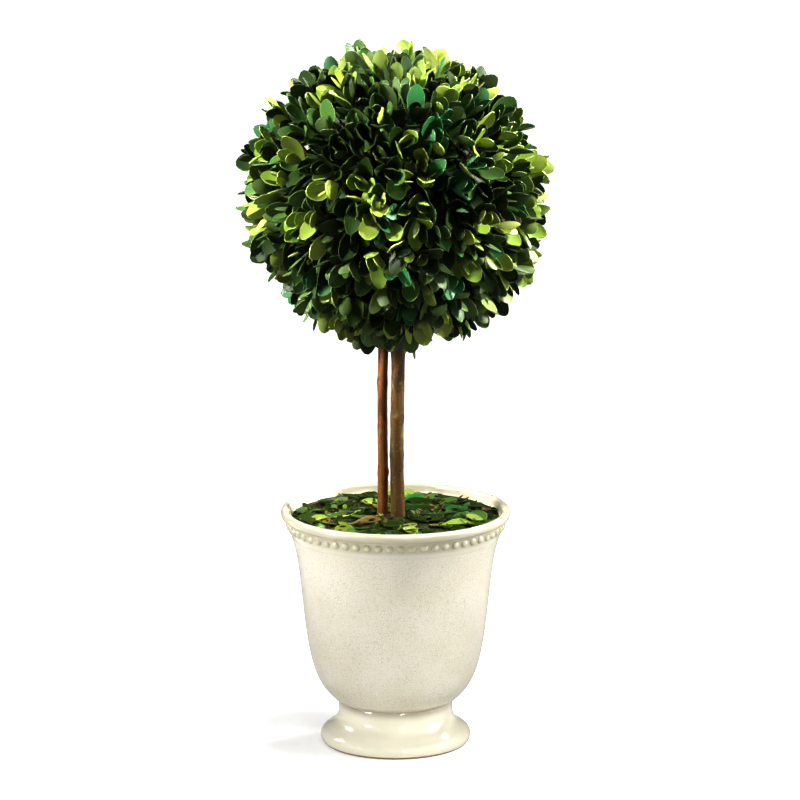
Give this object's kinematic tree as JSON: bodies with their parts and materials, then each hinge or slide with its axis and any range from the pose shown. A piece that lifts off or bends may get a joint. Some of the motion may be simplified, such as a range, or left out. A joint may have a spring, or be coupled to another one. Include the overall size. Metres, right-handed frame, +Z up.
{
  "type": "lollipop topiary in a footed pot",
  "caption": "Standard topiary: a clipped ball of small rounded box leaves on two slender bare stems, set in moss and fallen leaves in a cream glazed pot with a beaded rim and flared foot.",
  "frame": {"origin": "centre of the pot's flat underside", "axes": "+Z up through the pot, the stems and the ball; +X from the thinner stem to the thicker one; -Y towards the front, where the thicker stem stands a little nearer"},
  "size_m": [0.2283, 0.216, 0.513],
  "materials": {
    "cream_glaze": "gloss",
    "dry_foam": "matte",
    "moss_and_leaves": "matte",
    "red_bark": "satin",
    "olive_bark": "satin",
    "box_leaves": "satin"
  },
  "bodies": {
    "root": {"pot": "cream_glaze", "pot_filling": "dry_foam", "leaf_litter": "moss_and_leaves", "stem_left": "red_bark", "stem_right": "olive_bark", "crown_ball": "box_leaves"}
  },
  "joints": []
}
